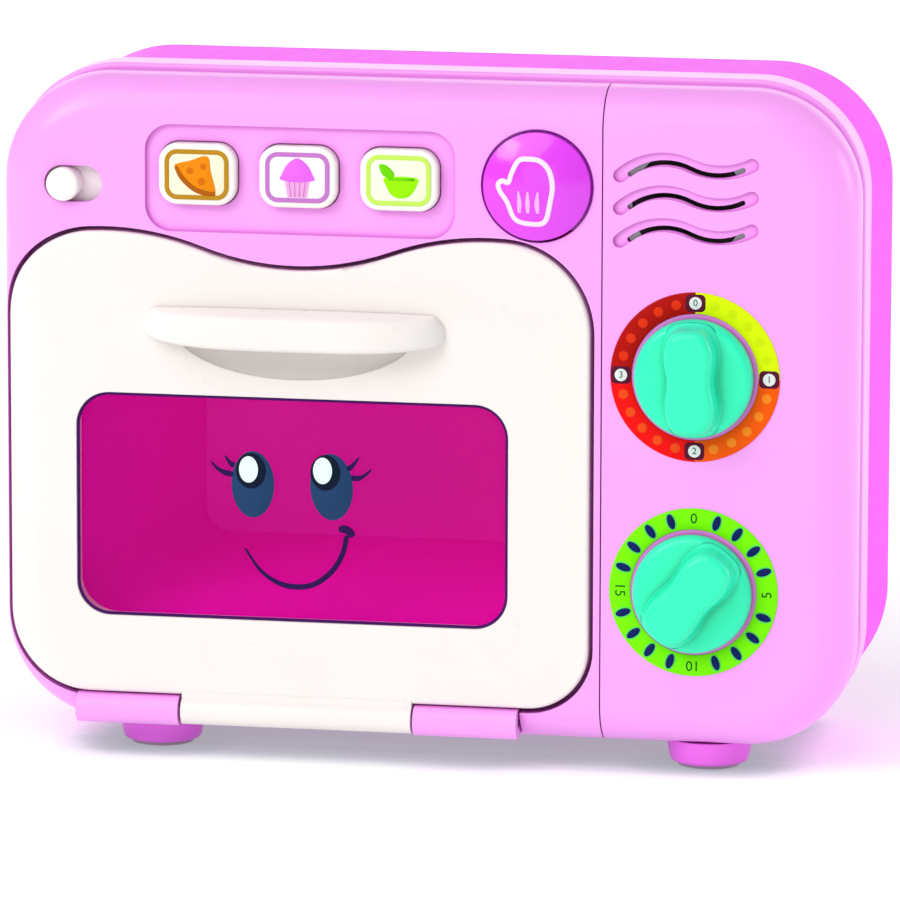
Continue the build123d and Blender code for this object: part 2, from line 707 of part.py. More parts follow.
def knob(name):
    height = DIAL_HEIGHTS[name]
    disc = rod(DIAL_X, height, KNOB_RADIUS, KNOB_FRONT, KNOB_BACK)
    rim = disc.faces().sort_by(Axis.Y)[0].edges()
    disc = fillet(rim, 2.2)
    turned_by = Rot(0, 0, RIDGE_TURN[name])
    sunk = 0.6
    base = turned_by * ridge_outline(0)
    crown = Pos(0, 0, RIDGE_HEIGHT + sunk) * turned_by * ridge_outline(RIDGE_DRAFT)
    grip = Pos(DIAL_X, KNOB_FRONT + sunk, height) * (Plane.XZ * loft([base, crown]))
    top_edges = grip.faces().sort_by(Axis.Y)[0].edges()
    grip = fillet(top_edges, 1.6)
    shaft = rod(DIAL_X, height, SHAFT_RADIUS, KNOB_BACK - 0.5, WHEEL_BACK)
    return disc + grip + shaft - rod(DIAL_X, height, 1.3, 6, WHEEL_BACK)


def detent_wheel(name):
    notches = PolarLocations(WHEEL_RADIUS + 0.2, DETENTS) * Circle(0.8)
    disc = Circle(WHEEL_RADIUS) - notches - Circle(SHAFT_RADIUS)
    return slab(Pos(DIAL_X, DIAL_HEIGHTS[name]) * disc, WHEEL_FRONT, WHEEL_BACK)


def knob_screw(name):
    return screw(DIAL_X, DIAL_HEIGHTS[name], WHEEL_BACK, 6.2, radius=1.3, head=6.0, head_thick=2.0)


def detent_springs():
    """One leaf over each detent wheel, held by the two posts behind the panel."""
    half_length, width, thick, above = 13.5, 4, 0.6, 11.6
    leaves = []
    for height in DIAL_HEIGHTS.values():
        low = height + above
        left, right = DIAL_X - half_length, DIAL_X + half_length
        leaves.append(block(left, right, WHEEL_FRONT, WHEEL_FRONT + width, low, low + thick))
    return Compound(children=leaves)


# ---- electronics, battery and fasteners ---------------------------------------------
def circuit_board():
    width, height = BOARD_SIZE
    board = slab(rounded(BOARD_X, BOARD_Z, width, height, 2), BOARD_FRONT, BOARD_BACK)
    for x, z in BOARD_POSTS:
        board -= rod(x, z, 1.2, 0, 20)
    return board


def board_components():
    chip = block(-46, -34, BOARD_BACK, BOARD_BACK + 1.8, 184, 196)
    cans = [rod(x, 190, 3.2, BOARD_BACK, BOARD_BACK + 8) for x in (-24, -14)]
    socket = block(34, 44, BOARD_BACK, BOARD_BACK + 5, 182, 190)
    return Compound(children=[chip, socket] + cans)


def board_screws():
    screws = []
    for x, z in BOARD_POSTS:
        screws.append(screw(x, z, BOARD_BACK, 6.2, radius=1.2, head=2.6, head_thick=1.6))
    return Compound(children=screws)


def turned(points, x, z):
    """A solid of revolution about an axis along Y, from points of radius and depth."""
    profile = make_face(Polyline(*points, close=True))
    solid = revolve(profile, Axis.Y)
    return Pos(x, 0, z) * solid


def speaker_frame():
    rim = SPEAKER_RADIUS
    outside = [(rim, 3), (rim, 4.2), (rim - 2.6, 4.2), (13, 13), (13, 15)]
    inside = [(11, 15), (11, 12.4), (rim - 4, 3)]
    points = outside + inside
    return turned(points, SPEAKER_X, SPEAKER_Z)


def speaker_cone():
    edge = SPEAKER_RADIUS - 4.6
    points = [(edge, 3.4), (edge, 3.0), (8, 8.2), (0, 6.6), (0, 7.4), (7.6, 9.0), (8.4, 9.0)]
    return turned(points, SPEAKER_X, SPEAKER_Z)


def speaker_magnet():
    points = [(0, 10.2), (6, 10.2), (6, 15), (13, 15), (13, 21), (0, 21)]
    return turned(points, SPEAKER_X, SPEAKER_Z)


def battery_box():
    width, height = BOX_INNER
    outer = slab(
        Pos(BATTERY_X, BATTERY_Z) * Rectangle(width + 2 * BOX_WALL, height + 2 * BOX_WALL),
        BOX_FRONT,
        REAR_BACK - REAR_WALL,
    )
    inner = slab(Pos(BATTERY_X, BATTERY_Z) * Rectangle(width, height), BOX_FRONT + BOX_WALL, REAR_BACK)
    top = BATTERY_Z + height / 2 + BOX_WALL
    ear = block(BATTERY_X - 5, BATTERY_X + 5, 88, REAR_BACK - REAR_WALL, top - 0.5, top + 8)
    return outer - inner + ear - rod(BATTERY_X, COVER_SCREW_Z, 1.3, 90, REAR_BACK)


def cell_heights():
    return [BATTERY_Z + CELL_PITCH * row for row in (-1, 0, 1)]


def batteries():
    cells = []
    for row, z in enumerate(cell_heights()):
        way = 1 if row % 2 == 0 else -1
        case = bar(BATTERY_X - CELL_LENGTH / 2, BATTERY_X + CELL_LENGTH / 2, CELL_RADIUS, CELL_Y, z)
        end = BATTERY_X + way * CELL_LENGTH / 2
        low, high = sorted((end, end + way * 1.5))
        cells.append(case + bar(low, high, 2.7, CELL_Y, z))
    return Compound(children=cells)


def battery_ends(row):
    """X of a cell's flat end and of its nub, and the sign of the nub's side."""
    way = 1 if row % 2 == 0 else -1
    flat = BATTERY_X - way * CELL_LENGTH / 2
    nub = BATTERY_X + way * (CELL_LENGTH / 2 + 1.5)
    return flat, nub, way


def battery_springs():
    """The springs that press on the flat ends, drawn as short stepped cones."""
    springs = []
    for row, z in enumerate(cell_heights()):
        flat, _, way = battery_ends(row)
        wall = BATTERY_X - way * (BOX_INNER[0] / 2 - 0.5)
        middle = (flat + wall) / 2
        low, high = sorted((wall, middle))
        base = bar(low, high, 4.2, CELL_Y, z)
        low, high = sorted((middle, flat))
        springs.append(base + bar(low, high, 2.8, CELL_Y, z))
    return Compound(children=springs)


def battery_plates():
    """Contact plates on both end walls of the box."""
    plates = []
    for row, z in enumerate(cell_heights()):
        for side in (-1, 1):
            wall = BATTERY_X + side * BOX_INNER[0] / 2
            low, high = sorted((wall, wall - side * 0.5))
            plate = block(low, high, CELL_Y - 5.5, CELL_Y + 5.5, z - 5, z + 5)
            _, nub, way = battery_ends(row)
            if side == way:
                low, high = sorted((wall - side * 0.5, nub))
                plate += bar(low, high, 2.2, CELL_Y, z)
            plates.append(plate)
    return Compound(children=plates)


def battery_cover():
    width, height, corner = COVER_SIZE
    cover = slab(rounded(BATTERY_X, COVER_Z, width, height, corner), REAR_BACK - COVER_THICK, REAR_BACK)
    for row in range(5):
        z = BATTERY_Z - 16 + row * 4
        grip = Pos(BATTERY_X, z) * SlotOverall(18, 1.6)
        cover -= slab(grip, REAR_BACK - 0.8, REAR_BACK + 1)
    cover -= rod(BATTERY_X, COVER_SCREW_Z, 1.3, REAR_BACK - 5, REAR_BACK + 1)
    cover -= rod(BATTERY_X, COVER_SCREW_Z, 3.1, REAR_BACK - COVER_SCREW_SUNK, REAR_BACK + 1)
    return cover


def battery_cover_screw():
    head_front = REAR_BACK - COVER_SCREW_SUNK
    return screw(BATTERY_X, COVER_SCREW_Z, head_front, 91, radius=1.3, head=2.8, head_thick=1.3)


def housing_screws():
    return Compound(children=[screw(x, z, WELL_FLOOR, 41) for x, z in SCREW_PLACES])


def foot(x, y):
    """A tapered foot with a soft lower edge, standing on its pad."""
    height = BODY_BOTTOM - PAD_THICK
    solid = Pos(x, y, PAD_THICK + height / 2) * Cone(FOOT_LOW_RADIUS, FOOT_TOP_RADIUS, height)
    low_edge = solid.faces().sort_by(Axis.Z)[0].edges()
    return fillet(low_edge, 1.6)


def foot_places():
    return {
        "front_left": (-FOOT_X, FOOT_Y[0]),
        "front_right": (FOOT_X, FOOT_Y[0]),
        "rear_left": (-FOOT_X, FOOT_Y[1]),
        "rear_right": (FOOT_X, FOOT_Y[1]),
    }


def foot_pads():
    pads = []
    for x, y in foot_places().values():
        pads.append(Pos(x, y, PAD_THICK / 2) * Cylinder(PAD_RADIUS, PAD_THICK))
    return Compound(children=pads)


def battery_wire(shift):
    """A lead from the battery box up to the board's socket."""
    route = FilletPolyline(
        (36 + shift, BOARD_BACK + 5, 186),
        (36 + shift, 34, 186),
        (50 + shift, 34, 150),
        (50 + shift, 70, 90),
        (62 + shift, 70, 70),
        (62 + shift, BOX_FRONT, 70),
        radius=5,
    )
    start = Plane(origin=route @ 0, z_dir=route % 0)
    return sweep(start * Circle(0.8), route)


# ---- the pieces ---------------------------------------------------------------------
def save_all():
    save("front_frame", front_frame())
    save("control_panel", control_panel())
    save("middle_band", middle_band())
    save("rear_housing", rear_housing())
    save("oven_cavity", oven_cavity())
    save("door_outer_panel", door_outer_panel())
    save("door_inner_panel", door_inner_panel())
    save("door_screws", door_screws())
    save("door_window", door_window())
    save("window_face_print", face_print())
    save("door_handle", door_handle())
    save("handle_screws", handle_screws())
    save("hinge_knuckle_left", hinge_knuckle(-1))
    save("hinge_knuckle_right", hinge_knuckle(1))
    save("hinge_pin", hinge_pin())
    save("magnet_plate", magnet_plate())
    save("door_magnet", door_magnet())
    for index, name in enumerate(BUTTON_NAMES):
        save(name + "_button", food_button(index))
        save(name + "_label", food_label(index))
    save("button_keypad", button_keypad())
    save("mitten_button", mitten_button())
    save("mitten_icon", mitten_icon())
    save("mitten_switch", mitten_switch())
    save("power_slider", power_slider())
    save("switch_lever", switch_lever())
    save("slide_switch", slide_switch())
    for name in DIAL_HEIGHTS:
        save(name + "_dial", dial_label(name))
        save(name + "_knob", knob(name))
        save(name + "_detent_wheel", detent_wheel(name))
        save(name + "_knob_screw", knob_screw(name))
    save("detent_springs", detent_springs())
    save("circuit_board", circuit_board())
    save("board_components", board_components())
    save("board_screws", board_screws())
    save("speaker_frame", speaker_frame())
    save("speaker_cone", speaker_cone())
    save("speaker_magnet", speaker_magnet())
    save("battery_box", battery_box())
    save("batteries", batteries())
    save("battery_springs", battery_springs())
    save("battery_plates", battery_plates())
    save("battery_cover", battery_cover())
    save("battery_cover_screw", battery_cover_screw())
    save("battery_wire_red", battery_wire(0))
    save("battery_wire_black", battery_wire(4))
    save("housing_screws", housing_screws())
    for name, (x, y) in foot_places().items():
        save("foot_" + name, foot(x, y))
    save("foot_pads", foot_pads())


save_all()
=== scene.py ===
import json
import math

import bmesh
import bpy
from mathutils import Matrix, Vector


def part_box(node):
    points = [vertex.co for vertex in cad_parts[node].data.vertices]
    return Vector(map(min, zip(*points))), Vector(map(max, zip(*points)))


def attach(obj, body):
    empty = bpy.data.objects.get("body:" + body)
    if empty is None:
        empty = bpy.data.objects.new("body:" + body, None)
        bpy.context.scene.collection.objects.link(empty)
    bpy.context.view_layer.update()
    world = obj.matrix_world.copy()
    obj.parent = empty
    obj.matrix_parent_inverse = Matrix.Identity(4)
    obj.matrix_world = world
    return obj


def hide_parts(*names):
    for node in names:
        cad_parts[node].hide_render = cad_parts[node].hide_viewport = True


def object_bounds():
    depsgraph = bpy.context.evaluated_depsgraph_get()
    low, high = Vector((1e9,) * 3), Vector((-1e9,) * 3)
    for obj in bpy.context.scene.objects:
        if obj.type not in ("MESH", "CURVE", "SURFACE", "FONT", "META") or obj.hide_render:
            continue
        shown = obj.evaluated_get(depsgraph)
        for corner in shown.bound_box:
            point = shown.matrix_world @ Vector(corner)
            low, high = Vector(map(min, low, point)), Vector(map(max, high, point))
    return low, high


# A pink toy oven on a plain pale floor. Lengths are in metres; MM turns millimetres into metres.
# Artwork is drawn in the front's plane: x to the right and z up, in millimetres.

MM = 0.001
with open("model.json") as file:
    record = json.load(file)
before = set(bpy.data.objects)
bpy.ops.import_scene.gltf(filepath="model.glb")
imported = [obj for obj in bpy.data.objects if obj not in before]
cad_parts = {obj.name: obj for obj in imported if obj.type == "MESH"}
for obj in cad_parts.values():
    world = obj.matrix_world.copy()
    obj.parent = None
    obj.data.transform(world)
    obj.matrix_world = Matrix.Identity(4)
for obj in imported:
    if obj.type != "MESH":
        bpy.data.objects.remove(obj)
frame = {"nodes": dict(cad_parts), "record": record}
cad_low, cad_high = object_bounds()


# ---- materials ----------------------------------------------------------------------
def linear(hex_colour):
    """A linear colour from its web form."""
    channels = []
    for i in (1, 3, 5):
        c = int(hex_colour[i:i + 2], 16) / 255
        channels.append(c / 12.92 if c <= 0.04045 else ((c + 0.055) / 1.055) ** 2.4)
    return (*channels, 1.0)


def new_material(name):
    material = bpy.data.materials.new(name)
    material.use_nodes = True
    tree = material.node_tree
    tree.nodes.clear()
    return material, tree


def noise(tree, vector, scale, detail=3.0, roughness=0.5):
    node = tree.nodes.new("ShaderNodeTexNoise")
    node.inputs["Scale"].default_value = scale
    node.inputs["Detail"].default_value = detail
    node.inputs["Roughness"].default_value = roughness
    tree.links.new(vector, node.inputs["Vector"])
    return node.outputs["Fac"]


def remap(tree, source, low, high, from_low=0.3, from_high=0.7):
    node = tree.nodes.new("ShaderNodeMapRange")
    node.inputs["From Min"].default_value = from_low
    node.inputs["From Max"].default_value = from_high
    node.inputs["To Min"].default_value = low
    node.inputs["To Max"].default_value = high
    tree.links.new(source, node.inputs["Value"])
    return node.outputs["Result"]


def blend_colours(tree, fac, first, second):
    node = tree.nodes.new("ShaderNodeMix")
    node.data_type = "RGBA"
    tree.links.new(fac, node.inputs["Factor"])
    node.inputs["A"].default_value = first
    node.inputs["B"].default_value = second
    return node.outputs["Result"]


def deepen(tree, colour, deep, reach):
    """Painted shade: darkens corners, creases and gaps towards a darker tone where ambient occlusion finds
    them hemmed in.
    """
    occlusion = tree.nodes.new("ShaderNodeAmbientOcclusion")
    occlusion.samples = 8
    occlusion.inputs["Distance"].default_value = reach * MM
    mix = tree.nodes.new("ShaderNodeMix")
    mix.data_type = "RGBA"
    tree.links.new(remap(tree, occlusion.outputs["AO"], 1.0, 0.0, 0.35, 0.9), mix.inputs["Factor"])
    tree.links.new(colour, mix.inputs["A"])
    mix.inputs["B"].default_value = deep
    return mix.outputs["Result"]


def shade(colour, factor):
    return (*[min(1.0, c * factor) for c in colour[:3]], 1.0)


def surface(name, hex_colour, rough=0.3, spread=0.05, grain=700.0, bump=0.03, drift=0.04,
            soft_edge=0.0, metallic=0.0, coat=0.0, specular=0.5, painted_shade=None, reach=5.0, glow=0.0):
    """A moulded or printed surface: slow drift in its colour, uneven gloss and a fine skin in relief."""
    material, tree = new_material(name)
    nodes, links = tree.nodes, tree.links
    shader = nodes.new("ShaderNodeBsdfPrincipled")
    output = nodes.new("ShaderNodeOutputMaterial")
    links.new(shader.outputs["BSDF"], output.inputs["Surface"])
    where = nodes.new("ShaderNodeTexCoord").outputs["Object"]
    base = linear(hex_colour)
    slow = remap(tree, noise(tree, where, 22.0, 2.0), 0.0, 1.0)
    colour = blend_colours(tree, slow, shade(base, 1 + drift), shade(base, 1 - 2 * drift))
    # Painted shade: when a shade colour is given, corners and gaps darken towards it.
    if painted_shade:
        colour = deepen(tree, colour, linear(painted_shade), reach)
    links.new(colour, shader.inputs["Base Color"])
    gloss = remap(tree, noise(tree, where, grain * 0.25, 4.0), rough - spread, rough + spread)
    links.new(gloss, shader.inputs["Roughness"])
    relief = nodes.new("ShaderNodeBump")
    relief.inputs["Strength"].default_value = bump
    relief.inputs["Distance"].default_value = 0.2 * MM
    links.new(noise(tree, where, grain, 5.0, 0.6), relief.inputs["Height"])
    if soft_edge:
        bevel = nodes.new("ShaderNodeBevel")
        bevel.samples = 6
        bevel.inputs["Radius"].default_value = soft_edge * MM
        links.new(bevel.outputs["Normal"], relief.inputs["Normal"])
    links.new(relief.outputs["Normal"], shader.inputs["Normal"])
    shader.inputs["Metallic"].default_value = metallic
    shader.inputs["Specular IOR Level"].default_value = specular
    shader.inputs["Coat Weight"].default_value = coat
    shader.inputs["Coat Roughness"].default_value = 0.08
    shader.inputs["Emission Color"].default_value = base
    shader.inputs["Emission Strength"].default_value = glow
    return material


def clear_pane(name):
    """Clear moulded plastic: mostly see-through, with gloss that grows towards the edge of view."""
    material, tree = new_material(name)
    nodes, links = tree.nodes, tree.links
    where = nodes.new("ShaderNodeTexCoord").outputs["Object"]
    output = nodes.new("ShaderNodeOutputMaterial")
    mix = nodes.new("ShaderNodeMixShader")
    through = nodes.new("ShaderNodeBsdfTransparent")
    haze = remap(tree, noise(tree, where, 30.0, 2.0), 0.0, 1.0)
    tint = blend_colours(tree, haze, (0.985, 0.965, 0.98, 1), (0.995, 0.98, 0.99, 1))
    links.new(tint, through.inputs["Color"])
    gloss = nodes.new("ShaderNodeBsdfGlossy")
    links.new(remap(tree, noise(tree, where, 60.0, 3.0), 0.02, 0.06), gloss.inputs["Roughness"])
    ripple = nodes.new("ShaderNodeBump")
    ripple.inputs["Strength"].default_value = 0.02
    ripple.inputs["Distance"].default_value = 0.3 * MM
    links.new(noise(tree, where, 14.0, 1.0), ripple.inputs["Height"])
    links.new(ripple.outputs["Normal"], gloss.inputs["Normal"])
    fresnel = nodes.new("ShaderNodeFresnel")
    fresnel.inputs["IOR"].default_value = 1.1
    links.new(fresnel.outputs["Fac"], mix.inputs["Fac"])
    links.new(through.outputs["BSDF"], mix.inputs[1])
    links.new(gloss.outputs["BSDF"], mix.inputs[2])
    links.new(mix.outputs["Shader"], output.inputs["Surface"])
    return material


def make_materials():
    """Every CAD slot's finish. The cavity's faint glow stands for light through its thin walls."""
    return {
        # The pink body has painted shade: its grooves and corners darken towards #D66AD0.
        "body_pink": surface("pink_plastic", "#FDA6FB", rough=0.3, spread=0.02, soft_edge=0.35,
                             drift=0.006, bump=0.006, specular=0.4, painted_shade="#D66AD0", reach=4.0),
        "shell_pink": surface("deep_pink_plastic", "#FF36FC", rough=0.42, spread=0.02,
                              soft_edge=0.35, drift=0.008, bump=0.006, specular=0.1),
        "cavity_magenta": surface("magenta_plastic", "#D606A4", rough=0.4, soft_edge=0.5,
                                  drift=0.006, bump=0.004, specular=0.08, glow=0.24),
        "door_white": surface("off_white_plastic", "#F4EDEA", rough=0.32, soft_edge=0.4,
                              drift=0.01, bump=0.01, specular=0.35),
        "window_clear": clear_pane("clear_plastic"),
        "print_navy": surface("navy_ink", "#1E4169", rough=0.45),
        "print_pale_pink": surface("pale_pink_ink", "#FFD2FF", rough=0.4),
        "label_print": surface("label_white", "#FFFAF0", rough=0.35, drift=0.02),
        "dial_print": surface("dial_lime", "#7CFB00", rough=0.4),
        "button_white": surface("button_off_white", "#FBF7F2", rough=0.25, soft_edge=0.3, drift=0.02),
        "button_magenta": surface("bright_magenta_plastic", "#E93CF9", rough=0.2, soft_edge=0.3, coat=0.3),
        # The mint knobs have painted shade: the grip's sides and its foot darken towards #008C78.
        "knob_mint": surface("mint_plastic", "#2CF8C0", rough=0.3, spread=0.02, drift=0.01,
                             bump=0.006, specular=0.4, painted_shade="#008C78", reach=5.0),
        "foot_pink": surface("foot_plastic", "#FA70F6", rough=0.32, soft_edge=0.4),
        "pad_rubber": surface("pad_rubber", "#B9A9B8", rough=0.8, grain=1800.0, bump=0.2),
        "keypad_rubber": surface("keypad_rubber", "#D8D4CC", rough=0.7, grain=1500.0, bump=0.12),
        "inner_white": surface("inner_white_plastic", "#EDEBE6", rough=0.45, soft_edge=0.2),
        "inner_black": surface("inner_black_plastic", "#1C1C1E", rough=0.5, soft_edge=0.2, bump=0.1),
        "switch_black": surface("component_black", "#151515", rough=0.4, soft_edge=0.15),
        "switch_metal": surface("pressed_steel", "#B9BCBE", rough=0.35, metallic=1.0, grain=2600.0),
        "pin_steel": surface("drawn_steel", "#BFC2C5", rough=0.28, metallic=1.0, grain=3000.0),
        "spring_steel": surface("nickel_steel", "#C9CCD0", rough=0.2, metallic=1.0, grain=2400.0),
        "screw_steel": surface("zinc_steel", "#B8BBC0", rough=0.32, metallic=1.0, grain=2800.0),
        "magnet_dark": surface("dark_ferrite", "#3A3A3D", rough=0.6, grain=2200.0, bump=0.15),
        "speaker_metal": surface("speaker_steel", "#8E9296", rough=0.4, metallic=1.0, grain=2400.0),
        "speaker_paper": surface("pressed_paper", "#2A2724", rough=0.9, grain=2600.0, bump=0.3),
        "board_green": surface("solder_mask", "#1F6A3A", rough=0.35, grain=900.0, bump=0.06),
        "cell_metal": surface("cell_sleeve", "#2B2B30", rough=0.25, coat=0.4),
        "wire_red": surface("red_sleeve", "#C01818", rough=0.4),
        "wire_black": surface("black_sleeve", "#161616", rough=0.4),
    }


def ink(name, hex_colour, rough=0.5):
    """Printed ink: matt, with hardly any gloss."""
    return surface(name, hex_colour, rough=rough, drift=0.02, bump=0.02, grain=1200.0, specular=0.1)


# ---- outlines -----------------------------------------------------------------------
def circle(x, z, radius, count=48, half_height=None, tilt=0.0):
    """Points round a circle, or round an ellipse that may lean."""
    tall = half_height or radius
    points = []
    for i in range(count):
        angle = math.tau * i / count
        u, v = radius * math.cos(angle), tall * math.sin(angle)
        px = x + u * math.cos(tilt) - v * math.sin(tilt)
        pz = z + u * math.sin(tilt) + v * math.cos(tilt)
        points.append((px, pz))
    return points


def rounded_box(x, z, width, height, corner, steps=8):
    """Points round a box with round corners."""
    points = []
    corners = [(1, 1, 0), (-1, 1, 90), (-1, -1, 180), (1, -1, 270)]
    for side_x, side_z, start in corners:
        centre_x = x + side_x * (width / 2 - corner)
        centre_z = z + side_z * (height / 2 - corner)
        for i in range(steps + 1):
            angle = math.radians(start + 90 * i / steps)
            px = centre_x + corner * math.cos(angle)
            pz = centre_z + corner * math.sin(angle)
            points.append((px, pz))
    return points


def around(x, z, points):
    """Points given from a middle, moved to that middle."""
    return [(x + u, z + v) for u, v in points]


def smooth(points, closed=False, steps=8):
    """A curve through the points, with even turning between them."""
    count = len(points)
    spans = count if closed else count - 1
    result = []
    for i in range(spans):
        if closed:
            a, b, c, d = (points[(i + k) % count] for k in (-1, 0, 1, 2))
        else:
            a, b, c, d = (points[min(max(i + k, 0), count - 1)] for k in (-1, 0, 1, 2))
        for j in range(steps):
            t = j / steps
            spot = []
            for p, q, r, s in zip(a, b, c, d):
                bend = (2 * p - 5 * q + 4 * r - s) * t * t + (3 * q - p - 3 * r + s) * t ** 3
                spot.append(0.5 * (2 * q + (r - p) * t + bend))
            result.append(tuple(spot))
    if not closed:
        result.append(tuple(points[-1]))
    return result


# ---- mesh tools ---------------------------------------------------------------------
def as_object(name, mesh_data, material, body, stands_for=()):
    """Turns a bmesh into a piece that rides on a body, with one material or a list of them."""
    bmesh.ops.recalc_face_normals(mesh_data, faces=mesh_data.faces[:])
    mesh = bpy.data.meshes.new(name)
    mesh_data.to_mesh(mesh)
    mesh_data.free()
    for polygon in mesh.polygons:
        polygon.use_smooth = True
    thing = bpy.data.objects.new(name, mesh)
    bpy.context.scene.collection.objects.link(thing)
    for one in material if isinstance(material, (list, tuple)) else [material]:
        mesh.materials.append(one)
    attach(thing, body)
    if stands_for:
        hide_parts(*stands_for)
    return thing


def flat_shape(outlines, front, thick, rim):
    """Raised artwork: closed outlines with a soft edge, standing on the flat surface behind them."""
    build = bmesh.new()
    for outline in outlines:
        centre_x = sum(p[0] for p in outline) / len(outline)
        centre_z = sum(p[1] for p in outline) / len(outline)
        reach = max(math.hypot(p[0] - centre_x, p[1] - centre_z) for p in outline)
        inset = 1 - rim / reach
        loops = []
        for scale, lift in ((1.0, 0.0), (1.0, thick * 0.6), (inset, thick)):
            loop = []
            for x, z in outline:
                px = centre_x + (x - centre_x) * scale
                pz = centre_z + (z - centre_z) * scale
                loop.append(build.verts.new((px * MM, (front - lift) * MM, pz * MM)))
            loops.append(loop)
        join_loops(build, loops)
    return build


def join_loops(build, loops):
    """Side faces between loops of equal length, with both ends closed."""
    for low, high in zip(loops, loops[1:]):
        count = len(low)
        for i in range(count):
            j = (i + 1) % count
            build.faces.new((low[i], low[j], high[j], high[i]))
    build.faces.new(loops[0])
    build.faces.new(list(reversed(loops[-1])))


def join_sections(build, first, second, material_index=0):
    """Side faces between two cross-sections of a strip."""
    count = len(first)
    for k in range(count):
        m = (k + 1) % count
        face = build.faces.new((first[k], first[m], second[m], second[k]))
        face.material_index = material_index


# A stroke's section: the share of its half width and of its thickness at each corner.
CROWN = ((-1, 0), (-1, 0.6), (-0.6, 1), (0.6, 1), (1, 0.6), (1, 0))


def ribbon(build, path, width, front, thick, closed=False, surface_y=None):
    """A stroke of ink along a path, slightly crowned, whose width may change along it."""
    count = len(path)
    sections = []
    for i, (x, z) in enumerate(path):
        if closed:
            before, after = path[i - 1], path[(i + 1) % count]
        else:
            before, after = path[max(i - 1, 0)], path[min(i + 1, count - 1)]
        dx, dz = after[0] - before[0], after[1] - before[1]
        length = math.hypot(dx, dz) or 1.0
        nx, nz = -dz / length, dx / length
        half = (width(i / (count - 1)) if callable(width) else width) / 2
        section = []
        for across, lift in CROWN:
            px, pz = x + nx * half * across, z + nz * half * across
            y = (surface_y(px, pz) if surface_y else front) - thick * lift
            section.append(build.verts.new((px * MM, y * MM, pz * MM)))
        sections.append(section)
    spans = count if closed else count - 1
    for i in range(spans):
        join_sections(build, sections[i], sections[(i + 1) % count])
    if not closed:
        build.faces.new(sections[0])
        build.faces.new(list(reversed(sections[-1])))


def taper(full, start=0.25, end=0.25, reach=0.25):
    """A stroke's width along its length, thinning towards its ends."""
    def width(t):
        near = min(1.0, start + (1 - start) * t / reach)
        far = min(1.0, end + (1 - end) * (1 - t) / reach)
        return full * min(near, far)
    return width


def stroke(name, path, width, front, thick, material, body, closed=False, surface_y=None,
           stands_for=()):
    """A piece made of one stroke of ink."""
    build = bmesh.new()
    ribbon(build, path, width, front, thick, closed, surface_y)
    return as_object(name, build, material, body, stands_for)


def patch(name, outlines, front, thick, material, body, stands_for=(), rim=0.08):
    """A piece made of filled outlines."""
    build = flat_shape(outlines, front, thick, rim)
    return as_object(name, build, material, body, stands_for)


def middle(node):
    """A node's middle in millimetres, and its front."""
    low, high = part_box(node)
    centre = (low + high) / 2 / MM
    return centre.x, centre.z, low.y / MM


def lettering(name, text, size, x, z, front, thick, material, body, turn=0.0):
    """A numeral raised from the surface, centred on a point."""
    curve = bpy.data.curves.new(name, "FONT")
    curve.body = text
    curve.size = size * MM
    curve.align_x = "CENTER"
    curve.align_y = "CENTER"
    curve.extrude = thick * MM / 2
    curve.offset = 0.02 * MM
    holder = bpy.data.objects.new(name + "_curve", curve)
    bpy.context.scene.collection.objects.link(holder)
    mesh = bpy.data.meshes.new_from_object(holder)
    bpy.data.objects.remove(holder)
    place = Matrix.Translation((x * MM, (front - thick / 2) * MM, z * MM))
    mesh.transform(place @ Matrix.Rotation(-turn, 4, "Y") @ Matrix.Rotation(math.pi / 2, 4, "X"))
    mesh.name = name
    mesh.materials.clear()
    mesh.materials.append(material)
    thing = bpy.data.objects.new(name, mesh)
    bpy.context.scene.collection.objects.link(thing)
    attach(thing, body)
    return thing


# ---- the CAD pieces -----------------------------------------------------------------
def dress_cad(materials):
    """Gives each carried-over piece its finished material, by the record's slots."""
    slots = {row["node"]: row["material_slot"] for row in frame["record"]["subparts"]}
    for name, thing in frame["nodes"].items():
        finish = materials[slots[name]]
        for entry in thing.material_slots:
            entry.material = finish


# ---- window and its printed face ----------------------------------------------------
WINDOW_WIDTH, WINDOW_HEIGHT = 141.0, 72.8
WINDOW_CORNER = 10.5
EYE_LEFT, EYE_RIGHT = -55.1, -29.4
EYE_HEIGHT = 89.6
INK_THICK = 0.12
LASHES = {
    "lash_left_low": [(-61.6, 92.6), (-64.4, 93.2), (-66.8, 94.5), (-68.8, 96.6)],
    "lash_left_high": [(-61.2, 95.4), (-62.6, 96.4), (-64.2, 98.6)],
    "lash_right_high": [(-24.2, 95.6), (-22.6, 96.8), (-20.4, 99.6)],
    "lash_right_low": [(-22.9, 92.8), (-20.6, 92.8), (-18.6, 93.8), (-16.4, 95.8)],
}
SMILE = [(-57.6, 68.6), (-52.6, 61.6), (-46.4, 57.6), (-40.2, 56.7), (-34.6, 58.0), (-29.2, 62.3),
         (-25.8, 68.0), (-24.4, 74.0)]
CHEEK = [(-27.0, 75.9), (-25.2, 76.1), (-23.6, 75.3), (-22.2, 73.8)]


def window_border(front):
    """The dark line printed round the window."""
    low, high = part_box("door_window")
    x, z = (low.x + high.x) / 2 / MM, (low.z + high.z) / 2 / MM
    path = rounded_box(x, z, WINDOW_WIDTH - 1.0, WINDOW_HEIGHT - 1.0, WINDOW_CORNER, 12)
    plum = ink("border_plum", "#4A0A62", 0.35)
    stroke("window_border", path, 1.1, front, 0.08, plum, "door", closed=True)


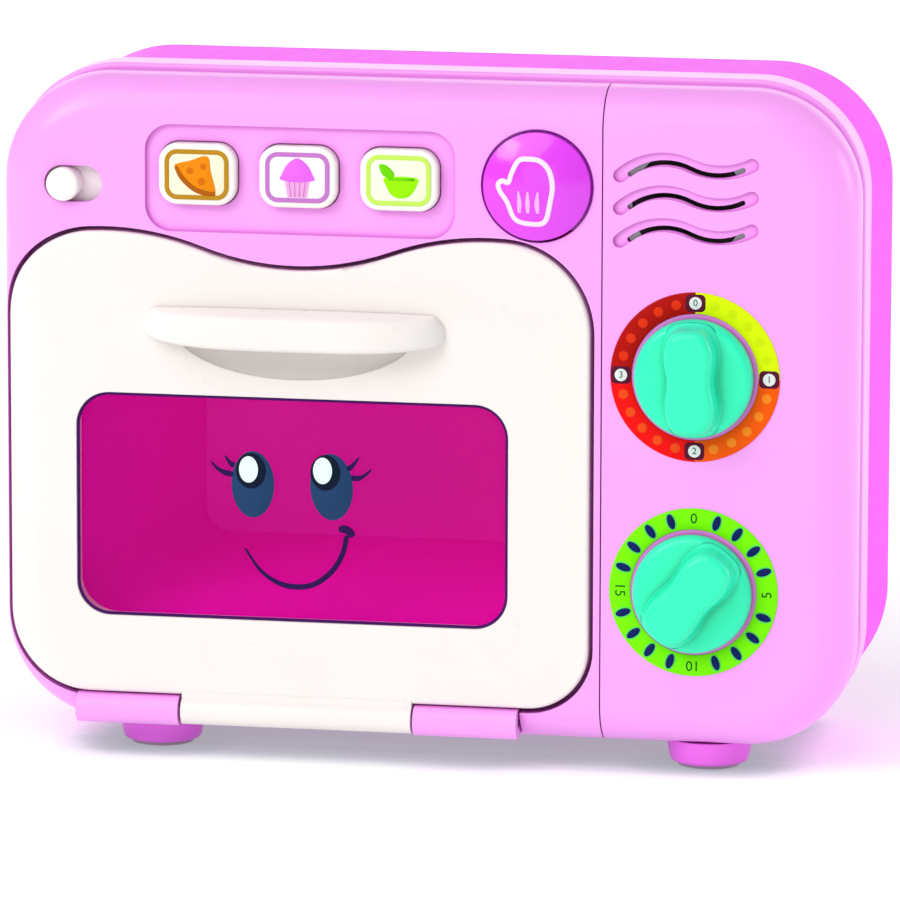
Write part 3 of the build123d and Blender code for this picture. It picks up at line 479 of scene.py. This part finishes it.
def eyes(front):
    """Two upright ovals, each with a darker middle and a pale shine in front of it."""
    navy = ink("eye_navy", "#20406A", 0.3)
    dark = ink("eye_dark", "#06142E", 0.3)
    shine = ink("eye_shine", "#E8FFF6", 0.3)
    ovals = [circle(x, EYE_HEIGHT, 7.0, 64, 10.8, tilt) for x, tilt in ((EYE_LEFT, 0.0), (EYE_RIGHT, 0.05))]
    patch("eyes", ovals, front, INK_THICK, navy, "door", stands_for=("window_face_print",))
    pupils = [circle(x, z, 4.9, 48, 5.8) for x, z in ((EYE_LEFT - 0.6, 94.0), (EYE_RIGHT - 2.0, 94.2))]
    patch("eye_centres", pupils, front - INK_THICK, 0.05, dark, "door")
    shines = [circle(x, z, 3.1, 40, 4.3) for x, z in ((EYE_LEFT - 1.4, 94.4), (EYE_RIGHT - 2.9, 94.8))]
    patch("eye_shines", shines, front - 0.17, 0.06, shine, "door")


def oven_face():
    """A plain smiling face, printed on the window."""
    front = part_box("door_window")[0].y / MM
    window_border(front)
    eyes(front)
    plum = ink("plum_ink", "#2A0A4E", 0.35)
    for name, points in LASHES.items():
        width = taper(2.0, 0.9, 0.25, 0.8)
        stroke(name, smooth(points), width, front, INK_THICK, plum, "door")
    stroke("smile", smooth(SMILE), taper(1.8, 0.4, 0.9, 0.35), front, INK_THICK, plum, "door")
    stroke("cheek", smooth(CHEEK), taper(2.6, 0.6, 0.6), front - 0.02, 0.13, plum, "door")


# ---- food buttons -------------------------------------------------------------------
GROUND_THICK = 0.22
GROUND_FROM_BACK = 0.3  # how far the ground's back face lies behind the CAD label's front


def label_ground(key, hex_frame, hex_ground):
    """A food label's pale ground and its printed frame line. Returns its middle, front and body."""
    x, z, front = middle(key + "_label")
    low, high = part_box(key + "_label")
    width, height = (high.x - low.x) / MM, (high.z - low.z) / MM
    body = key + "_key"
    back = front + GROUND_FROM_BACK
    ground = ink(key + "_ground", hex_ground)
    outline = rounded_box(x, z, width + 0.8, height + 1.4, 4.0)
    patch(key + "_ground", [outline], back, GROUND_THICK, ground, body,
          stands_for=(key + "_label",))
    line = ink(key + "_line", hex_frame)
    path = rounded_box(x, z, width - 1.0, height - 0.4, 3.3)
    printed = back - GROUND_THICK
    stroke(key + "_frame_line", path, 1.5, printed, 0.06, line, body, closed=True)
    return x, z, printed, body


PIZZA_SLICE = ((6.1, -6.0), (2.0, -5.6), (-3.0, -2.8), (-6.6, 1.6), (-6.9, 3.2), (-2.2, 4.5), (3.5, 6.0),
               (4.7, 1.0))
PIZZA_CRUST = ((-6.8, 2.5), (-4.6, -1.3), (-0.6, -4.7), (3.6, -6.0), (6.1, -5.9))
PIZZA_TOPPINGS = ((-2.2, 1.2, 1.1), (1.6, -2.2, 1.2), (2.1, 2.6, 1.0))


def pizza_art():
    x, z, front, body = label_ground("pizza", "#BE8A1E", "#FFF6D8")
    crust = ink("crust_brown", "#B45E06")
    cheese = ink("cheese_orange", "#F08C04")
    topping = ink("topping_brown", "#DC6E04")
    outline = smooth(around(x, z, PIZZA_SLICE), True, 5)
    patch("pizza_slice", [outline], front, 0.07, cheese, body)
    edge = smooth(around(x, z, PIZZA_CRUST))
    stroke("pizza_crust", edge, taper(1.6, 0.7, 0.7), front - 0.07, 0.05, crust, body)
    dots = [circle(x + u, z + v, radius, 20) for u, v, radius in PIZZA_TOPPINGS]
    patch("pizza_toppings", dots, front - 0.07, 0.05, topping, body)


CUP = ((-4.1, -0.8), (4.1, -0.8), (3.1, -6.4), (-3.1, -6.4))
ICING_SIDE = ((5.4, -0.8), (5.0, 1.0), (3.7, 3.6), (1.9, 5.4))
PLEATS = 4


def cake_art():
    x, z, front, body = label_ground("cake", "#C77ACB", "#FFF7FC")
    icing = ink("icing_pink", "#EE6BFF")
    wrapper = ink("wrapper_pink", "#F2A8E4")
    pleat = ink("pleat_mauve", "#D07FCB")
    patch("cake_wrapper", [around(x, z, CUP)], front, 0.06, wrapper, body)
    for i in range(PLEATS):
        u = -2.1 + 1.4 * i
        line = [(x + u * 1.25, z - 1.4), (x + u * 0.95, z - 6.1)]
        stroke(f"cake_pleat_{i}", line, 0.35, front - 0.06, 0.03, pleat, body)
    left = [(-u, v) for u, v in ICING_SIDE]
    outline = left + [(0.0, 6.2)] + list(reversed(ICING_SIDE)) + [(0.0, -1.5)]
    top = smooth(around(x, z, outline), True, 4)
    patch("cake_icing", [top], front - 0.02, 0.1, icing, body)


BOWL = ((-4.2, 1.0), (5.8, 1.0), (5.7, -2.0), (3.6, -4.9), (0.6, -5.7), (-2.2, -4.7), (-3.9, -1.9))
BOWL_RIM = ((-3.4, 0.4), (5.2, 0.4))
LEAF = ((-2.4, 0.6), (-5.2, 1.8), (-6.2, 4.9), (-3.7, 4.7), (-1.3, 2.2))


def salad_art():
    x, z, front, body = label_ground("salad", "#C8F060", "#F8FFE0")
    lime = ink("salad_lime", "#9BF500")
    green = ink("leaf_green", "#6FD800")
    bowl = smooth(around(x, z, BOWL), True, 4)
    patch("salad_bowl", [bowl], front, 0.08, lime, body)
    leaf = smooth(around(x, z, LEAF), True, 5)
    patch("salad_leaf", [leaf], front - 0.03, 0.08, green, body)
    stroke("salad_rim", around(x, z, BOWL_RIM), 0.9, front - 0.08, 0.04, green, body)


# ---- mitten -------------------------------------------------------------------------
MITTEN_HEIGHT = 188.8
DOME_RADIUS, DOME_RISE = 17.2, 4.6
MITTEN = ((-5.2, 8.6), (-1.8, 9.2), (1.8, 8.6), (4.6, 5.8), (5.8, 0.8), (5.0, -4.6), (3.8, -9.6),
          (2.0, -11.4), (-2.0, -11.5), (-5.4, -10.8), (-7.2, -9.0), (-8.8, -4.8), (-11.2, -1.4),
          (-11.9, 0.8), (-10.5, 2.0), (-8.4, 1.7), (-7.4, 4.6))
CUFF_LINES = ((-4.9, -0.6), (-2.1, 0.0), (1.0, 0.5))  # each line's place across and its lean


def mitten_art():
    """The mitten on the big button follows the button's dome."""
    low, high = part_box("mitten_button")
    x, z = (low.x + high.x) / 2 / MM, MITTEN_HEIGHT
    ball = (DOME_RADIUS ** 2 + DOME_RISE ** 2) / (2 * DOME_RISE)
    tip = low.y / MM

    def dome(px, pz):
        off = (px - x) ** 2 + (pz - z) ** 2
        return tip + ball - math.sqrt(max(ball * ball - off, 0.0))

    path = smooth(around(x, z, MITTEN), True, 6)
    pale = ink("mitten_ink", "#FFE6FF", 0.35)
    faint = ink("mitten_faint_ink", "#FBB8FD", 0.35)
    stroke("mitten_outline", path, 1.6, 0, 0.14, pale, "mitten_key", closed=True,
           surface_y=dome, stands_for=("mitten_icon",))
    for i, (u, lean) in enumerate(CUFF_LINES):
        line = around(x, z, ((u + lean * 0.1, -8.0), (u - lean * 0.2, -4.8), (u + lean * 0.4, -1.0)))
        stroke(f"mitten_cuff_{i}", smooth(line), taper(1.6, 0.6, 0.3, 0.5), 0, 0.1, faint, "mitten_key",
               surface_y=dome)


# ---- dials --------------------------------------------------------------------------
RING_OUT, RING_IN = 27.1, 20.3
RING_MID = (RING_OUT + RING_IN) / 2
RING_EDGE = 0.15
RING_SECTION = ((RING_IN, 0.0), (RING_IN, 0.7), (RING_IN + RING_EDGE, 1.0), (RING_OUT - RING_EDGE, 1.0),
                (RING_OUT, 0.7), (RING_OUT, 0.0))  # each corner's radius and its share of the lift
TEMPERATURE_THICK = 0.28
TIMER_THICK = 0.26
RING_INKS = (("dial_yellow", "#DFFA00"), ("dial_orange", "#FB5C00"), ("dial_red", "#F40A0A"),
             ("dial_deep_red", "#B40A02"))
DOT_INKS = (("dot_yellow", "#D2EC00"), ("dot_orange", "#FF8A1E"), ("dot_red", "#F04A10"),
            ("dot_deep_red", "#E8300C"))
TIMER_MARKS = 20
TIMER_NUMERAL_STEP = 5


def clock_point(x, z, radius, degrees):
    """A point on a dial; 0 is at the top and the angle grows clockwise."""
    angle = math.radians(degrees)
    return x + radius * math.sin(angle), z + radius * math.cos(angle)


def ring_sector(build, x, z, start, end, back, thick, steps, material_index=0):
    """A flat ring with softened edges, whole or in part."""
    full = end - start >= 360
    rows = []
    for i in range(steps + (0 if full else 1)):
        degrees = start + (end - start) * i / steps
        row = []
        for radius, lift in RING_SECTION:
            px, pz = clock_point(x, z, radius, degrees)
            row.append(build.verts.new((px * MM, (back - thick * lift) * MM, pz * MM)))
        rows.append(row)
    for i in range(steps):
        join_sections(build, rows[i], rows[(i + 1) % len(rows)], material_index)
    if not full:
        for end_row in (rows[0], rows[-1]):
            build.faces.new(end_row).material_index = material_index


def temperature_numerals(x, z, front):
    """A plain numeral on a pale disc and a dark ground at the start of each quarter."""
    dark = ink("numeral_ground", "#5A1030")
    pale = ink("numeral_disc", "#E6EAEA")
    grey = ink("numeral_grey", "#50585E")
    places = [clock_point(x, z, RING_MID, 90 * quarter) for quarter in range(4)]
    grounds = [rounded_box(px, pz, 6.4, 5.6, 1.5, 4) for px, pz in places]
    discs = [circle(px, pz, 2.0, 28) for px, pz in places]
    patch("temperature_numeral_grounds", grounds, front, 0.04, dark, "housing")
    patch("temperature_numeral_discs", discs, front - 0.04, 0.04, pale, "housing")
    for quarter, (px, pz) in enumerate(places):
        lettering(f"temperature_numeral_{quarter}", str(quarter), 3.0, px, pz, front - 0.08, 0.03, grey,
                  "housing")


def temperature_dial():
    """A ring in four coloured quarters, with five dots in each."""
    x, z, _ = middle("temperature_dial")
    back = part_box("temperature_dial")[1].y / MM
    inks = [ink(name, colour) for name, colour in RING_INKS]
    build = bmesh.new()
    for quarter in range(4):
        ring_sector(build, x, z, quarter * 90, quarter * 90 + 90, back, TEMPERATURE_THICK, 24, quarter)
    as_object("temperature_ring", build, inks, "housing", ("temperature_dial",))
    front = back - TEMPERATURE_THICK
    dot_inks = [ink(name, colour) for name, colour in DOT_INKS]
    for quarter in range(4):
        places = [clock_point(x, z, RING_MID, quarter * 90 + 15 * (i + 1)) for i in range(5)]
        dots = [circle(px, pz, 1.55, 24) for px, pz in places]
        patch(f"temperature_dots_{quarter}", dots, front, 0.03, dot_inks[quarter], "housing")
    temperature_numerals(x, z, front)


def timer_dial():
    """A lime ring with a mark for each minute and a numeral at every fifth."""
    x, z, _ = middle("timer_dial")
    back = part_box("timer_dial")[1].y / MM
    build = bmesh.new()
    ring_sector(build, x, z, 0, 360, back, TIMER_THICK, 120)
    as_object("timer_ring", build, ink("dial_lime_ink", "#7DFA00"), "housing", ("timer_dial",))
    front = back - TIMER_THICK
    navy = ink("tick_navy", "#0A1E62")
    halo = ink("tick_halo", "#5CE05A")
    green = ink("numeral_green", "#1D6A10")
    halos, ticks = [], []
    for minute in range(TIMER_MARKS):
        if minute % TIMER_NUMERAL_STEP == 0:
            continue
        angle = 360 / TIMER_MARKS * minute
        px, pz = clock_point(x, z, RING_MID, angle)
        tilt = -math.radians(angle)
        halos.append(circle(px, pz, 1.75, 24, 2.9, tilt))
        ticks.append(circle(px, pz, 1.25, 24, 2.5, tilt))
    patch("timer_tick_halos", halos, front, 0.02, halo, "housing", rim=0.03)
    patch("timer_ticks", ticks, front - 0.02, 0.03, navy, "housing", rim=0.03)
    for minute in range(0, TIMER_MARKS, TIMER_NUMERAL_STEP):
        angle = 360 / TIMER_MARKS * minute
        px, pz = clock_point(x, z, RING_MID, angle)
        lettering(f"timer_numeral_{minute // TIMER_NUMERAL_STEP}", str(minute), 4.6, px, pz, front, 0.04,
                  green, "housing", math.radians(angle))


# ---- knobs --------------------------------------------------------------------------
GRIP_HALF_LENGTH, GRIP_HALF_WIDTH, GRIP_WAIST = 17.2, 9.0, 1.6
GRIP_HEIGHT = 8.8
GRIP_WALL_TOP, GRIP_CROWN = 6.1, 2.7
GRIP_TOP_SHARE = 0.945
DISC_THICK = 5.4
DISC_ROUND = 2.8
SHAFT_RADIUS = 4.0
KNOB_TURNS = (("temperature", 2), ("timer", -39))  # degrees from upright


def grip_outline(count=96):
    """The grip's plan at its base: a long bar, waisted on both sides, with round ends."""
    points = []
    for i in range(count):
        angle = math.tau * i / count
        c, s = math.cos(angle), math.sin(angle)
        u = math.copysign(abs(c) ** 0.62, c) * GRIP_HALF_WIDTH
        v = math.copysign(abs(s) ** 0.72, s) * GRIP_HALF_LENGTH
        pinch = 1 - GRIP_WAIST / GRIP_HALF_WIDTH * math.exp(-(v / 6.5) ** 2)
        points.append((u * pinch, v))
    return points


def knob_disc(build, x, z, radius, back, disc_front):
    """The knob's turned disc, from its shaft's back to its round front edge."""
    disc_back = disc_front + DISC_THICK
    profile = [(SHAFT_RADIUS, back), (SHAFT_RADIUS, disc_back), (radius - 1.6, disc_back),
               (radius - 0.3, disc_back - 0.3), (radius, disc_back - 1.0), (radius, disc_front + DISC_ROUND)]
    for i in range(1, 7):
        angle = math.radians(15 * i)
        across = radius - DISC_ROUND + DISC_ROUND * math.cos(angle)
        profile.append((across, disc_front + DISC_ROUND - DISC_ROUND * math.sin(angle)))
    profile += [(radius * 0.6, disc_front - 0.05), (radius * 0.3, disc_front - 0.1), (1.0, disc_front - 0.1)]
    loops = []
    for ring_radius, y in profile:
        ring = circle(x, z, ring_radius, 96)
        loops.append([build.verts.new((px * MM, y * MM, pz * MM)) for px, pz in ring])
    join_loops(build, loops)


def grip_levels():
    """The grip's share of its base plan at each height, flared into the disc and crowned on top."""
    levels = [(1.17, -0.3), (1.10, 0.1), (1.05, 0.5), (1.02, 1.1), (1.0, 2.0), (0.97, 4.0)]
    levels.append((GRIP_TOP_SHARE, 5.8))
    for i in range(1, 9):
        angle = math.pi / 2 * i / 8
        share = GRIP_TOP_SHARE - GRIP_CROWN / GRIP_HALF_WIDTH * (1 - math.cos(angle))
        levels.append((share, GRIP_WALL_TOP + GRIP_CROWN * math.sin(angle)))
    return levels + [(0.45, GRIP_HEIGHT), (0.2, GRIP_HEIGHT)]


def knob_grip(build, x, z, radius, disc_front, turn):
    """The tall soft grip across the disc, kept inside the disc's edge."""
    cos_turn, sin_turn = math.cos(turn), math.sin(turn)
    outline = grip_outline()
    loops = []
    for share, lift in grip_levels():
        along = 1 - (1 - share) * GRIP_HALF_WIDTH / GRIP_HALF_LENGTH
        limit = radius - 0.4 - max(lift, 0) * 0.22
        loop = []
        for u, v in outline:
            pu, pv = u * share, v * along
            length = math.hypot(pu, pv)
            if length > limit:
                pu, pv = pu * limit / length, pv * limit / length
            px = x + pu * cos_turn - pv * sin_turn
            pz = z + pu * sin_turn + pv * cos_turn
            loop.append(build.verts.new((px * MM, (disc_front - lift) * MM, pz * MM)))
        loops.append(loop)
    join_loops(build, loops)


def knobs(materials):
    """Both knobs: a round disc on a shaft, with a grip across it."""
    for name, degrees in KNOB_TURNS:
        node = name + "_knob"
        x, z, front = middle(node)
        low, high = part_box(node)
        radius = (high.x - low.x) / 2 / MM
        disc_front = front + GRIP_HEIGHT
        build = bmesh.new()
        knob_disc(build, x, z, radius, high.y / MM, disc_front)
        knob_grip(build, x, z, radius, disc_front, math.radians(degrees))
        as_object(node + "_moulding", build, materials["knob_mint"], name + "_control", (node,))


# ---- handle -------------------------------------------------------------------------
HANDLE_WALL, HANDLE_ROOF = 2.4, 4.0
HANDLE_THIN = 0.12  # the bar's depth at its very ends
HANDLE_STATIONS = 96
NOSE = ((0.3, 0.1), (0.58, 0.4), (0.8, 1.1), (0.93, 2.1), (0.985, 3.3), (1.0, 4.6))  # depth share, drop
CHIN = ((1.0, 2.2), (0.985, 1.1), (0.95, 0.4), (0.88, 0.0))  # depth share, rise


def handle_section(depth, upper, lower, share, hollow):
    """The bar's section in (y, z): a round nose and chin, open from below up to its ceiling."""
    skin = min(HANDLE_WALL, depth * 0.6)
    ceiling = lower + 0.05 + (upper - lower - HANDLE_ROOF) * hollow
    points = [(0.0, upper)]
    points += [(-depth * out, upper - drop * share) for out, drop in NOSE]
    points += [(-depth * out, lower + rise * share) for out, rise in CHIN]
    return points + [(-depth + skin, lower), (-depth + skin, ceiling), (0.0, ceiling)]


def handle(materials):
    """The door's lip handle: a soft bar, hollow below for the fingers, that runs out into the door."""
    low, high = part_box("door_handle")
    x, z, _ = middle("door_handle")
    half = (high.x - low.x) / 2 / MM
    half_height = (high.z - low.z) / 2 / MM
    face = high.y / MM
    reach = (high.y - low.y) / MM
    build = bmesh.new()
    rows = []
    for i in range(HANDLE_STATIONS + 1):
        s = math.sin(math.pi * (i / HANDLE_STATIONS - 0.5))
        run_out = max(0.0, 1 - abs(s) ** 3.4)
        depth = HANDLE_THIN + (reach - HANDLE_THIN) * run_out ** 0.62
        drop = 4.0 * max(0.0, (abs(s) - 0.92) / 0.08) ** 1.6
        upper = z + half_height * (0.9 + 0.1 * run_out) - drop
        lower = z - half_height * (0.3 + 0.7 * run_out ** 0.5)
        share = (upper - lower) / (2 * half_height)
        hollow = max(0.0, 1 - (abs(s) / 0.82) ** 5)
        section = handle_section(depth, upper, lower, share, hollow)
        rows.append([build.verts.new(((x + half * s) * MM, (face + y) * MM, h * MM)) for y, h in section])
    join_loops(build, rows)
    as_object("handle_lip", build, materials["door_white"], "door", ("door_handle",))


# ---- stage --------------------------------------------------------------------------
FLOOR_HALF_WIDTH = 8.0  # metres
FLOOR_GLOW = 0.36


def floor():
    """A lit white sheet, so that the ground stays bright; the soft shadow on it is partly cast by the lamps
    and partly painted shade, darker towards teal-grey close to the oven.
    """
    build = bmesh.new()
    bmesh.ops.create_grid(build, x_segments=8, y_segments=8, size=FLOOR_HALF_WIDTH)
    mesh = bpy.data.meshes.new("floor")
    build.to_mesh(mesh)
    build.free()
    thing = bpy.data.objects.new("floor", mesh)
    bpy.context.scene.collection.objects.link(thing)
    # Painted contact shadow: the sheet darkens towards teal-grey (#5C747A) within 15 mm of anything standing
    # on it.
    sheet = surface("pale_floor", "#E2E8E4", rough=0.7, drift=0.004, bump=0.0, specular=0.0,
                    painted_shade="#5C747A", reach=15.0)
    shader = sheet.node_tree.nodes["Principled BSDF"]
    shader.inputs["Emission Color"].default_value = (1.0, 1.0, 1.0, 1.0)
    shader.inputs["Emission Strength"].default_value = FLOOR_GLOW
    mesh.materials.append(sheet)


def softbox(name, place, target, width, height, power, colour=(1, 1, 1)):
    """A soft lamp at a place, aimed at a target, in metres and watts."""
    light = bpy.data.lights.new(name, "AREA")
    light.shape = "RECTANGLE"
    light.size, light.size_y = width, height
    light.energy = power
    light.color = colour
    lamp = bpy.data.objects.new(name, light)
    lamp.location = place
    lamp.rotation_mode = "QUATERNION"
    lamp.rotation_quaternion = (Vector(target) - Vector(place)).to_track_quat("-Z", "Y")
    lamp.visible_camera = False
    bpy.context.scene.collection.objects.link(lamp)


def sky():
    """A broad, even light from above and behind the camera."""
    sun = bpy.data.lights.new("sky", "SUN")
    sun.energy = 1.15
    sun.angle = math.radians(50)
    lamp = bpy.data.objects.new("sky", sun)
    lamp.rotation_euler = (math.radians(38), math.radians(-22), 0)
    bpy.context.scene.collection.objects.link(lamp)


def studio():
    """A pale room with four soft lamps."""
    world = bpy.data.worlds.new("studio")
    world.use_nodes = True
    background = world.node_tree.nodes["Background"]
    background.inputs["Color"].default_value = (1.0, 0.995, 1.0, 1)
    background.inputs["Strength"].default_value = 0.42
    bpy.context.scene.world = world
    sky()
    centre = (cad_low + cad_high) / 2
    softbox("key", (-1.5, -1.5, 1.3), centre, 0.9, 0.8, 11.5)
    softbox("front", (-0.2, -2.6, 0.5), centre, 1.6, 0.9, 4)
    softbox("backdrop", (0.0, 2.6, 1.0), (0.0, 0.0, 0.3), 4.0, 1.8, 26)
    softbox("right", (1.5, 0.35, 0.5), (0.1, 0.0, 0.1), 0.5, 0.7, 6, (1.0, 0.85, 1.0))


def camera():
    """Long lens, a little to the right of and above the front, as such objects are photographed."""
    data = bpy.data.cameras.new("camera")
    data.lens = 316.2
    data.sensor_width = 36.0
    data.clip_end = 50.0
    eye = bpy.data.objects.new("camera", data)
    eye.location = (0.47338, -2.47612, 0.54740)
    eye.rotation_euler = [math.radians(a) for a in (79.828, -0.142, 10.831)]
    bpy.context.scene.collection.objects.link(eye)
    bpy.context.scene.camera = eye


# ---- the scene ----------------------------------------------------------------------
bpy.context.scene.view_settings.view_transform = "Standard"
finishes = make_materials()
dress_cad(finishes)
oven_face()
pizza_art()
cake_art()
salad_art()
mitten_art()
temperature_dial()
timer_dial()
knobs(finishes)
handle(finishes)
floor()
studio()
camera()
